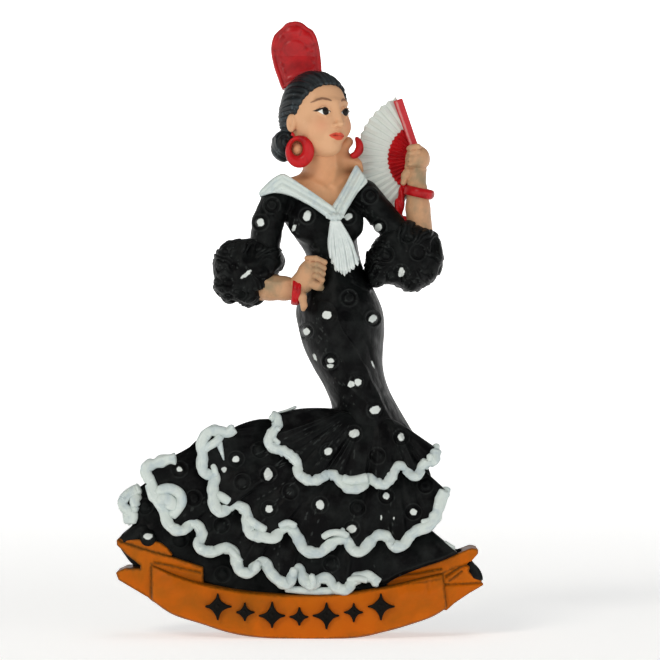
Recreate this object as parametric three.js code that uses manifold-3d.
// A souvenir fridge magnet: a flamenco dancer in half relief, standing in a flounced train behind a
// ribbon. The figure is cast in resin with a flat back, and a ferrite disc is glued into a pocket in it.
//
// Sculpted places are written as (x, depth, z): x from the middle of the ribbon, depth forwards from
// the flat back, z up from the foot of the ribbon. at() turns them into the part's own frame.
import * as THREE from "three";
import { LoftGeometry } from "three/addons/geometries/LoftGeometry.js";
import { mergeVertices } from "three/addons/utils/BufferGeometryUtils.js";
import Module from "manifold-3d";

const wasm = await Module();
wasm.setup();

// ---- Driving dimensions, in millimetres ----
const FIGURE_HEIGHT = 90;
const FIGURE_WIDTH = 54;
const RELIEF_DEPTH = 12.5;
const GAP = 0.3; // clearance between neighbouring pieces of the casting

const MAGNET_RADIUS = 10;
const MAGNET_THICKNESS = 3;
const MAGNET_PROUD = 0.4; // how far the disc stands out of the flat back
const MAGNET_CLEARANCE = 0.3; // round the disc in its pocket
const GLUE_THICKNESS = 0.4;
const POCKET_FLOOR = 1.0; // resin left over the pocket
const MAGNET_X = 1;
const MAGNET_Z = 19.6;

const RUFFLE_RADIUS = 0.8; // the rolled white edge of each flounce
const BRACELET_RADIUS = 1.95;
const HOOP_RADIUS = 1.55;
const HOOP_THICKNESS = 0.6;
const WRIST_RADIUS = 1.45;

const FAN_RADIUS = 10.2;
const FAN_LEAF_INNER = 5.3;
const FAN_STICK_INNER = 1.2;
const FAN_THICKNESS = 3.2;
const FAN_PLEATS = 16;
const FAN_OPEN_FROM = 113; // degrees, anticlockwise from +X seen from the front
const FAN_OPEN_TO = 243;
const GUARD_WIDTH = 1.3;

const COMB_THICKNESS = 3.2;
const RIBBON_FRONT = 11.2;
const MOTIF_HEIGHT = 0.6; // how far the motifs stand out of the ribbon
const MOTIF_COUNT = 7;
const MOTIF_RADIUS = 1.75;

const POCKET_DEPTH = MAGNET_THICKNESS - MAGNET_PROUD + GLUE_THICKNESS;
const CORE_THICKNESS = POCKET_DEPTH + POCKET_FLOOR;

// The sculpted places are drawn on a figure 54 wide, 12.5 deep and 90 high.
const WIDE = FIGURE_WIDTH / 54;
const DEEP = RELIEF_DEPTH / 12.5;
const TALL = FIGURE_HEIGHT / 90;
const FLOUNCE_BACK = (CORE_THICKNESS + GAP) / DEEP;
const at = (x, depth, z) => new THREE.Vector3(x * WIDE, -depth * DEEP, z * TALL);
const FORWARDS = new THREE.Vector3(0, -1, 0);

// ---- Solids ----

// A closed geometry as a manifold-3d solid, which takes a mesh with its vertices merged.
function solid(geometry) {
  const plain = new THREE.BufferGeometry().copy(geometry);
  plain.deleteAttribute("normal");
  plain.deleteAttribute("uv");
  const merged = mergeVertices(plain, 1e-4);
  const corners = [];
  const index = merged.index.array;
  for (let i = 0; i < index.length; i += 3) {
    const [a, b, c] = [index[i], index[i + 1], index[i + 2]];
    if (a !== b && b !== c && a !== c) corners.push(a, b, c);
  }
  return new wasm.Manifold(
    new wasm.Mesh({
      numProp: 3,
      vertProperties: merged.attributes.position.array,
      triVerts: new Uint32Array(corners),
    }),
  );
}

// A capped loft through the sections, each one turned anticlockwise as seen from the far end.
function loft(sections) {
  const middle = (ring) => ring.reduce((sum, p) => sum.add(p), new THREE.Vector3()).divideScalar(ring.length);
  const ahead = middle(sections[1]).sub(middle(sections[0]));
  const normal = new THREE.Vector3();
  sections[0].forEach((p, i, ring) => normal.add(p.clone().cross(ring[(i + 1) % ring.length])));
  if (normal.dot(ahead) < 0) sections.forEach((ring) => ring.reverse());
  return solid(new LoftGeometry(sections, { capStart: true, capEnd: true }));
}

// The same solid as a geometry for a mesh.
function geometryOf(manifold) {
  const mesh = manifold.getMesh();
  const geometry = new THREE.BufferGeometry();
  geometry.setAttribute("position", new THREE.BufferAttribute(new Float32Array(mesh.vertProperties), 3));
  geometry.setIndex(new THREE.BufferAttribute(mesh.triVerts, 1));
  geometry.computeVertexNormals();
  return geometry;
}

// ---- Shape helpers. Each gives a function of grow, in millimetres, so that a piece can also cut
// its neighbours with a clearance all round. ----

// A rounded limb through stations [x, depth, z, radius across, radius forwards].
function limb(stations, steps = 5, sides = 10) {
  const path = new THREE.CatmullRomCurve3(stations.map(([x, d, z]) => at(x, d, z)));
  const lastStation = stations.length - 1;
  const radius = (t, column) => {
    const i = Math.min(Math.floor(t * lastStation), lastStation - 1);
    return THREE.MathUtils.lerp(stations[i][column], stations[i + 1][column], t * lastStation - i);
  };
  return (grow) => {
    const ring = (t, share, shift) => {
      const along = path.getTangent(t);
      const centre = path.getPoint(t).addScaledVector(along, shift);
      const across = new THREE.Vector3().crossVectors(along, FORWARDS).normalize();
      const forwards = new THREE.Vector3().crossVectors(across, along).normalize();
      const [a, b] = [(radius(t, 3) + grow) * share, (radius(t, 4) + grow) * share];
      return Array.from({ length: sides }, (_, k) => {
        const angle = (k / sides) * 2 * Math.PI;
        return centre
          .clone()
          .addScaledVector(across, a * Math.cos(angle))
          .addScaledVector(forwards, b * Math.sin(angle));
      });
    };
    const [first, last] = [radius(0, 3) + grow, radius(1, 3) + grow];
    const sections = [ring(0, 0.45, -0.75 * first), ring(0, 0.85, -0.4 * first)];
    for (let i = 0; i <= steps; i++) sections.push(ring(i / steps, 1, 0));
    sections.push(ring(1, 0.85, 0.4 * last), ring(1, 0.45, 0.75 * last));
    return loft(sections);
  };
}

// A trunk of level oval sections [x, depth, z, radius across, radius forwards], from the bottom up.
function trunk(stations, steps = 8, sides = 16) {
  const curve = (column) =>
    new THREE.SplineCurve(stations.map((s, i) => new THREE.Vector2(i / (stations.length - 1), s[column])));
  const columns = [0, 1, 2, 3, 4].map(curve);
  return (grow) => {
    const sections = [];
    for (let i = 0; i <= steps; i++) {
      const [x, d, z, a, b] = columns.map((c) => c.getPoint(i / steps).y);
      const end = i === 0 ? -grow : i === steps ? grow : 0;
      const centre = at(x, d, z);
      sections.push(
        Array.from({ length: sides }, (_, k) => {
          const angle = (k / sides) * 2 * Math.PI;
          return new THREE.Vector3(
            centre.x + (a * WIDE + grow) * Math.cos(angle),
            centre.y + (b * DEEP + grow) * Math.sin(angle),
            centre.z + end,
          );
        }),
      );
    }
    return loft(sections);
  };
}

// A rounded lump.
function blob(x, d, z, across, forwards, up) {
  return (grow) => {
    const ball = new THREE.SphereGeometry(1, 16, 8);
    ball.rotateX(Math.PI / 2);
    ball.scale(across * WIDE + grow, forwards * DEEP + grow, up * TALL + grow);
    const centre = at(x, d, z);
    return solid(ball.translate(centre.x, centre.y, centre.z));
  };
}

// A hoop, its axis turned from forwards towards +X by turn degrees.
function hoop(x, d, z, radius, thickness, turn) {
  return (grow) => {
    const torus = new THREE.TorusGeometry(radius, thickness + grow, 8, 20);
    torus.rotateX(Math.PI / 2);
    torus.rotateZ(THREE.MathUtils.degToRad(turn));
    const centre = at(x, d, z);
    return solid(torus.translate(centre.x, centre.y, centre.z));
  };
}

// A cloth or panel in relief between an inner and an outer line of [x, z] points, with its front at
// height(s, t) and its back at the depth base. s runs along the lines and t from inner to outer.
function sheet(inner, outer, height, base = 0, steps = 24, across = 3) {
  const line = (points) => new THREE.SplineCurve(points.map(([x, z]) => new THREE.Vector2(x * WIDE, z * TALL)));
  const [near, far] = [line(inner), line(outer)];
  return (grow) => {
    const sections = [];
    const section = (s, shift) => {
      const a = near.getPointAt(s);
      const b = far.getPointAt(s);
      const out = b.clone().sub(a).normalize();
      const side = new THREE.Vector2(out.y, -out.x);
      const along = far.getTangentAt(s).add(near.getTangentAt(s));
      side.multiplyScalar(Math.sign(side.dot(along)) * shift);
      a.addScaledVector(out, -grow).add(side);
      b.addScaledVector(out, grow).add(side);
      const ring = [];
      for (let k = 0; k <= across; k++) {
        const t = k / across;
        const p = a.clone().lerp(b, t);
        ring.push(new THREE.Vector3(p.x, -height(s, t) * DEEP - grow, p.y));
      }
      const back = -base * DEEP + (base > 0 ? grow : 0);
      ring.push(new THREE.Vector3(b.x, back, b.y), new THREE.Vector3(a.x, back, a.y));
      return ring;
    };
    if (grow > 0) sections.push(section(0, -grow));
    for (let i = 0; i <= steps; i++) sections.push(section(i / steps, 0));
    if (grow > 0) sections.push(section(1, grow));
    return loft(sections);
  };
}

// A flat plate of the outline [x, z], from one depth to another, with a rounded front edge.
function plate(outline, from, to, round = 0.3, closed = false) {
  return (grow) => {
    const points = outline.map(([x, z]) => new THREE.Vector2(x * WIDE, z * TALL));
    const shape = new THREE.Shape(closed ? new THREE.SplineCurve([...points, points[0]]).getPoints(30) : points);
    const made = new THREE.ExtrudeGeometry(shape, {
      depth: (to - from) * DEEP - 2 * round + 2 * grow,
      bevelThickness: round,
      bevelSize: round,
      bevelOffset: grow - round,
      bevelSegments: 1,
      curveSegments: 8,
    });
    made.rotateX(Math.PI / 2);
    return solid(made.translate(0, -from * DEEP - round + grow, 0));
  };
}

// A ruched lump: level outlines that swell and close again as they come forwards, with scallops.
function rosette(x, z, across, up, front, scallops) {
  const levels = [
    [0, 0.86],
    [0.25, 1],
    [0.6, 0.98],
    [0.85, 0.8],
    [1, 0.45],
  ];
  const sides = scallops * 4;
  return (grow) => {
    const centre = at(x, 0, z);
    const sections = levels.map(([share, size], level) =>
      Array.from({ length: sides }, (_, k) => {
        const angle = (k / sides) * 2 * Math.PI;
        const wave = 1 + 0.05 * Math.cos(scallops * angle);
        const forwards = share * front * DEEP + (level === levels.length - 1 ? grow : 0);
        return new THREE.Vector3(
          centre.x + (across * WIDE * size * wave + grow) * Math.cos(angle),
          -forwards,
          centre.z + (up * TALL * size * wave + grow) * Math.sin(angle),
        );
      }),
    );
    return loft(sections);
  };
}

// A disc lying against the back, between two depths in millimetres.
function disc(radius, from, to) {
  const made = new THREE.CylinderGeometry(radius, radius, to - from, 48);
  return solid(made.translate(MAGNET_X * WIDE, -(from + to) / 2, MAGNET_Z * TALL));
}

// ---- Skirt: lines [x, z] of each flounce's rolled edge, from the left end to the right ----
const EDGE_1 = [[-3.8, 32.3], [-5, 29.3], [-3.1, 27.5], [0, 24.6], [3.3, 23.6], [7.2, 22.2], [11.3, 22.9],
  [14.8, 24.6], [17.9, 25.3], [19.6, 28]];
const EDGE_2 = [[-9.6, 30.8], [-13.4, 29.2], [-14.4, 25.4], [-12.9, 21.6], [-11.6, 18.7], [-8.2, 17.6],
  [-5.2, 15.3], [-1.8, 15.6], [2.3, 13.3], [5.8, 14.2], [8.4, 12.9], [11.3, 14.6], [14.6, 14], [18.3, 16.3],
  [20.4, 19.6], [21.4, 22]];
const EDGE_3 = [[-17.1, 27.2], [-21.8, 25], [-21.4, 21], [-18.5, 18.6], [-17.6, 16], [-14.6, 14.6],
  [-11.5, 13.2], [-8.9, 11.2], [-5.7, 8.9], [-2.2, 9.5], [0.9, 8.4], [4.7, 7.9], [9.2, 9], [13.8, 9.3],
  [17.6, 11.2], [22.2, 13.2]];
const EDGE_4 = [[-23.2, 22.6], [-25.4, 20.9], [-26, 19], [-25.2, 17.2]];

// A flounce's front comes forwards from its gathered top to its edge and falls into radial folds.
const flounce = (top, edge, folds) => (s, t) =>
  THREE.MathUtils.lerp(top, edge, Math.sqrt(t)) + 0.35 * t * Math.cos(2 * Math.PI * folds * s);
const rolledEdge = (edge, depth, steps) =>
  limb(edge.map(([x, z]) => [x, depth, z, RUFFLE_RADIUS, RUFFLE_RADIUS]), steps, 6);

// ---- Fan ----
const FAN_PIVOT = [18.1, 69.9];
const fanPoint = (radius, degrees) => {
  const angle = THREE.MathUtils.degToRad(degrees);
  return [FAN_PIVOT[0] + (radius * Math.cos(angle)) / WIDE, FAN_PIVOT[1] + (radius * Math.sin(angle)) / TALL];
};
const fanArc = (radius, from = FAN_OPEN_FROM, to = FAN_OPEN_TO, count = 12) =>
  Array.from({ length: count + 1 }, (_, i) => fanPoint(radius, from + ((to - from) * i) / count));
const pleats = (front) => (s) => front + 0.25 * Math.cos(2 * Math.PI * FAN_PLEATS * s);
function guard(degrees) {
  const half = THREE.MathUtils.radToDeg(GUARD_WIDTH / 2 / FAN_RADIUS);
  const near = THREE.MathUtils.radToDeg(GUARD_WIDTH / 3 / FAN_STICK_INNER);
  const corner = (radius, angle) => fanPoint(radius, degrees + angle);
  return plate(
    [corner(FAN_STICK_INNER, -near), corner(FAN_STICK_INNER, near), corner(FAN_RADIUS + 0.2, half),
      corner(FAN_RADIUS + 0.2, -half)],
    0,
    FAN_THICKNESS + 0.7,
    0.2,
  );
}

// ---- Ribbon ----
const RIBBON_TOP = [[-21.8, 10.8], [-14.1, 7.8], [-1.8, 6.4], [7.9, 6.7], [20.6, 9.6]];
const RIBBON_FOOT = [[-21.8, 5.6], [-14.5, 2.2], [-5, 0.1], [7.9, 0.1], [15.4, 1.9], [21.5, 4.3]];
const ribbonBulge = (s, t) => RIBBON_FRONT - 1.6 * (2 * s - 1) ** 4 - 0.5 * (2 * t - 1) ** 2;

// A row of four-pointed stars, large and small in turn, where a souvenir would carry its lettering.
function motif(index) {
  const share = index / (MOTIF_COUNT - 1);
  const x = -12 + 23.6 * share;
  const z = 3.1 + 1.5 * (2 * share - 1) ** 2;
  const reach = index % 2 === 0 ? MOTIF_RADIUS : 0.7 * MOTIF_RADIUS;
  const outline = Array.from({ length: 8 }, (_, k) => {
    const angle = (k / 8) * 2 * Math.PI;
    const radius = k % 2 === 0 ? reach : 0.5 * reach;
    return [x + radius * Math.cos(angle), z + radius * Math.sin(angle)];
  });
  return plate(outline, RIBBON_FRONT - 2.2, RIBBON_FRONT + MOTIF_HEIGHT / DEEP, 0.15);
}

// ---- The pieces, from the front of the relief to the back: each is cut round those before it ----
const SKIN = { color: 0xd9a077, roughness: 0.5, metalness: 0 };
const HAIR = { color: 0x17191a, roughness: 0.45, metalness: 0 };
const BLACK = { color: 0x131315, roughness: 0.5, metalness: 0 };
const WHITE = { color: 0xd5dbd6, roughness: 0.5, metalness: 0 };
const RED = { color: 0xc01a22, roughness: 0.4, metalness: 0 };
const ORANGE = { color: 0xd8700f, roughness: 0.5, metalness: 0 };
const FERRITE = { color: 0x2a2a2c, roughness: 0.6, metalness: 0.2 };
const GLUE = { color: 0xd9d2b4, roughness: 0.35, metalness: 0 };

const pieces = [];
const add = (name, paint, make) => pieces.push({ name, paint, make });

for (let i = 0; i < MOTIF_COUNT; i++) add(`ribbon_motif_${i + 1}`, BLACK, motif(i));
add("ribbon_panel", ORANGE, sheet(RIBBON_TOP, RIBBON_FOOT, ribbonBulge, 0, 16, 3));
add("ribbon_tail_right", ORANGE,
  plate([[-26.8, 14.3], [-21, 13.2], [-17, 12], [-14, 10.4], [-14, 6], [-21.9, 5.8], [-26.5, 8.2], [-27, 9.3],
    [-24.8, 9.9], [-23.6, 10.6], [-26.9, 13.5]], 0, 9));
add("ribbon_tail_left", ORANGE,
  plate([[13.3, 8.4], [18.9, 10.6], [25.1, 12.9], [25.8, 12.3], [24.3, 10.6], [26.8, 8.4], [24.7, 6.3],
    [21.7, 4.4], [13.3, 4]], 0, 9));

add("bracelet_right", RED,
  limb([[-0.9, 5, 50.4, BRACELET_RADIUS, 4.7], [-0.4, 5, 50.3, BRACELET_RADIUS, 4.7]], 1));
add("bracelet_left", RED,
  limb([[17.5, 3.8, 64.5, BRACELET_RADIUS, 3.9], [17.6, 3.8, 65, BRACELET_RADIUS, 3.9]], 1));
add("hand_right", SKIN, limb([[0.9, 9, 51.3, 1.3, 1.4], [2, 9.6, 52.9, 1.8, 1.5], [3.2, 9.6, 54, 1.3, 1.3]], 4));
add("hand_left", SKIN, limb([[17, 3.7, 67.2, 1.3, 3.7], [17, 3.8, 69.4, 1.7, 3.9], [16.8, 3.7, 71.2, 0.9, 3.4]], 4));
add("forearm_right", SKIN,
  limb([[-6.2, 4.2, 51.2, 1.6, 4.2], [-3.6, 4.4, 50.8, 1.5, 4.3], [-0.6, 4.8, 50.4, WRIST_RADIUS, 4.4]], 4));
add("forearm_left", SKIN,
  limb([[17.2, 3.6, 58.6, 1.9, 3.6], [17.1, 3.6, 62, 1.75, 3.5], [17.2, 3.7, 66, WRIST_RADIUS, 3.5]], 4));
add("earring_right", RED, hoop(-0.2, 8.4, 70.7, HOOP_RADIUS, HOOP_THICKNESS, 10));
add("earring_left", RED, hoop(7.7, 7.4, 71.4, 0.8 * HOOP_RADIUS, HOOP_THICKNESS, 40));

add("shawl_knot", WHITE, blob(5, 9, 61.1, 0.9, 1.2, 0.8));
add("shawl_tassel", WHITE,
  sheet([[4.3, 60.4], [5.8, 60.4]], [[4.2, 55.6], [5.9, 53.2], [8.5, 54.2]], () => 9.6, 4, 8, 4));
add("shawl_right", WHITE,
  sheet([[-4.9, 66.2], [-2.6, 67.2], [0.2, 65.6], [2.8, 63.8], [4.6, 62.2]],
    [[-5.9, 64.3], [-3.4, 64.7], [-0.8, 64], [2.2, 62.3], [4.5, 60.7]], (s) => 7.4 + 2 * s, 3, 14, 2));
add("shawl_left", WHITE,
  sheet([[5, 62.6], [5.6, 64.4], [6.7, 66.4], [8.1, 68.4]], [[5.6, 60.8], [6.9, 62.8], [8.3, 65], [9.5, 66.6]],
    (s) => 9.4 - 2 * s, 3, 12, 2));
add("face", SKIN, blob(3.6, 6.4, 75.6, 3.7, 5.4, 5.8));
add("neck_and_chest", SKIN,
  trunk([[4.2, 5, 61.6, 2.4, 2.6], [3.4, 4.8, 64, 5.6, 3.2], [2.6, 4.6, 66.2, 6.4, 3], [2.9, 4.8, 68.2, 2.6, 2.6],
    [2.8, 5, 70.6, 2.1, 2.3], [2.4, 5, 73.4, 2.2, 2.4]]));
add("hair", HAIR, blob(1.9, 4.8, 77.3, 5, 5.2, 5.6));
add("hair_bun", HAIR, blob(-2.4, 3.2, 71.9, 1.5, 3.6, 2.2));
add("comb", RED,
  plate([[-2.9, 80.4], [-4.1, 83.6], [-4.4, 85.8], [-4.1, 88], [-2.9, 89.4], [-0.9, 90], [1.2, 89.2], [2.4, 87.4],
    [2.9, 84.8], [2.8, 82], [0, 79.5]], 0, COMB_THICKNESS, 0.3, true));

add("sleeve_frill_right", BLACK, rosette(-7.9, 53.1, 4.9, 4.8, 8.2, 9));
add("sleeve_frill_left", BLACK, rosette(15.2, 55.3, 5.4, 5, 8.6, 9));
add("sleeve_right", BLACK,
  limb([[-3.4, 3.6, 64.2, 2.3, 3.7], [-4.9, 3.6, 60.8, 2.3, 3.8], [-5.4, 3.6, 57, 2.6, 3.8]]));
add("sleeve_left", BLACK,
  limb([[9, 3.6, 64.8, 2.2, 3.7], [11.6, 3.6, 61.8, 2.3, 3.8], [14, 3.6, 58.4, 2.6, 3.8]]));
add("bodice", BLACK,
  trunk([[5.6, 4.4, 51.2, 4.8, 4.6], [5.1, 4.4, 53.4, 4.2, 4.3], [4.6, 4.4, 55.8, 4, 4.3], [3.5, 4.4, 58.7, 4.8, 4.4],
    [3, 4.2, 61.6, 5.8, 4.4], [2.6, 4, 64, 7.4, 4], [2.4, 3.8, 66, 6.6, 3.4]]));
add("skirt_hips", BLACK,
  trunk([[9.4, 4.6, 31.6, 5.2, 4.6], [8.4, 4.8, 35.6, 4.7, 4.8], [6.9, 5, 39.4, 5.2, 5], [6.2, 5, 42.6, 5.9, 5.2],
    [5.7, 5, 46.6, 6.4, 5.2], [5.6, 4.8, 49.6, 5.7, 4.9], [5.6, 4.6, 51, 4.9, 4.7]]));

add("flounce_edge_1", WHITE, rolledEdge(EDGE_1, 10.6, 22));
add("flounce_1", BLACK,
  sheet([[3.2, 33.8], [5.2, 31.8], [9.6, 31], [13.4, 31.6], [15, 33.2]], EDGE_1, flounce(8.6, 11.2, 7),
    FLOUNCE_BACK, 28, 2));
add("flounce_edge_2", WHITE, rolledEdge(EDGE_2, 10.6, 34));
add("flounce_2", BLACK,
  sheet([[-3.4, 31.4], [-2, 28], [3, 25.6], [8, 24.6], [13, 25.6], [18, 26.8]], EDGE_2, flounce(8.2, 11, 9),
    FLOUNCE_BACK, 36, 2));
add("flounce_edge_3", WHITE, rolledEdge(EDGE_3, 10.2, 34));
add("flounce_3", BLACK,
  sheet([[-11.5, 30], [-11.6, 24.6], [-9.4, 20.4], [-4, 17.8], [3, 16], [10, 16.4], [16, 18], [19.8, 20.6]], EDGE_3,
    flounce(7.6, 10.4, 9), FLOUNCE_BACK, 36, 2));
add("flounce_edge_4", WHITE, rolledEdge(EDGE_4, 7.4, 8));
add("flounce_4", BLACK,
  sheet([[-19.6, 25], [-19, 20.6], [-15.4, 16.6], [-9, 12.8], [0, 10.6], [8, 10.2], [16, 11.6], [21, 14.2]],
    [[-23.8, 22.4], [-25.8, 18], [-26.6, 13.6], [-25.6, 9.6], [-19, 6], [-8, 4], [2, 3.6], [12, 4], [21, 6.6],
      [25.6, 11]],
    flounce(6.4, 8, 8), FLOUNCE_BACK, 32, 2));

add("fan_guard_upper", RED, guard(FAN_OPEN_FROM));
add("fan_guard_lower", RED, guard(FAN_OPEN_TO));
add("fan_sticks", RED,
  sheet(fanArc(FAN_STICK_INNER), fanArc(FAN_LEAF_INNER), pleats(FAN_THICKNESS + 0.2), 0, 2 * FAN_PLEATS, 1));
add("fan_leaf", WHITE,
  sheet(fanArc(FAN_LEAF_INNER), fanArc(FAN_RADIUS), pleats(FAN_THICKNESS), 0, 2 * FAN_PLEATS, 1));

const coreOutline = plate(
  [[-22.4, 23], [-18, 26], [-11, 29.2], [-4, 31], [4, 32.6], [14, 32.4], [18.6, 26.6], [20.4, 20], [23.4, 12],
    [25, 10.6], [20, 4.6], [8, 3.4], [-6, 3.4], [-18, 5.4], [-25.4, 9.4], [-25.6, 15]],
  0,
  CORE_THICKNESS / DEEP,
  0.3,
);
add("skirt_core", BLACK, (grow) =>
  coreOutline(grow).subtract(disc(MAGNET_RADIUS + MAGNET_CLEARANCE, -2 * MAGNET_PROUD - 1, POCKET_DEPTH)),
);

// ---- Assembly ----
const figure = new THREE.Group();
const back = (manifold) => manifold.trimByPlane([0, -1, 0], 0); // nothing reaches behind the flat back
const overlap = (a, b) => {
  const [p, q] = [a.boundingBox(), b.boundingBox()];
  return [0, 1, 2].every((k) => p.min[k] < q.max[k] && q.min[k] < p.max[k]);
};
// Cutting can leave a crumb on the far side of a neighbour, where the casting has only its neighbour.
const mainBody = (manifold) => manifold.decompose().reduce((a, b) => (a.volume() > b.volume() ? a : b));

function addMesh(name, paint, manifold) {
  const mesh = new THREE.Mesh(geometryOf(manifold), new THREE.MeshStandardMaterial(paint));
  mesh.name = name;
  figure.add(mesh);
}

const cutters = [];
for (const { name, paint, make } of pieces) {
  let made = back(make(0));
  for (const cutter of cutters) if (overlap(made, cutter)) made = made.subtract(cutter);
  addMesh(name, paint, mainBody(made));
  cutters.push(make(GAP));
}

addMesh("magnet", FERRITE, disc(MAGNET_RADIUS, -MAGNET_PROUD, MAGNET_THICKNESS - MAGNET_PROUD));
addMesh("magnet_glue", GLUE, disc(MAGNET_RADIUS, MAGNET_THICKNESS - MAGNET_PROUD, POCKET_DEPTH));

// The origin is the middle of the magnet's face, where the figure meets the steel it hangs on.
figure.position.set(-MAGNET_X * WIDE, -MAGNET_PROUD, -MAGNET_Z * TALL);

export default figure;
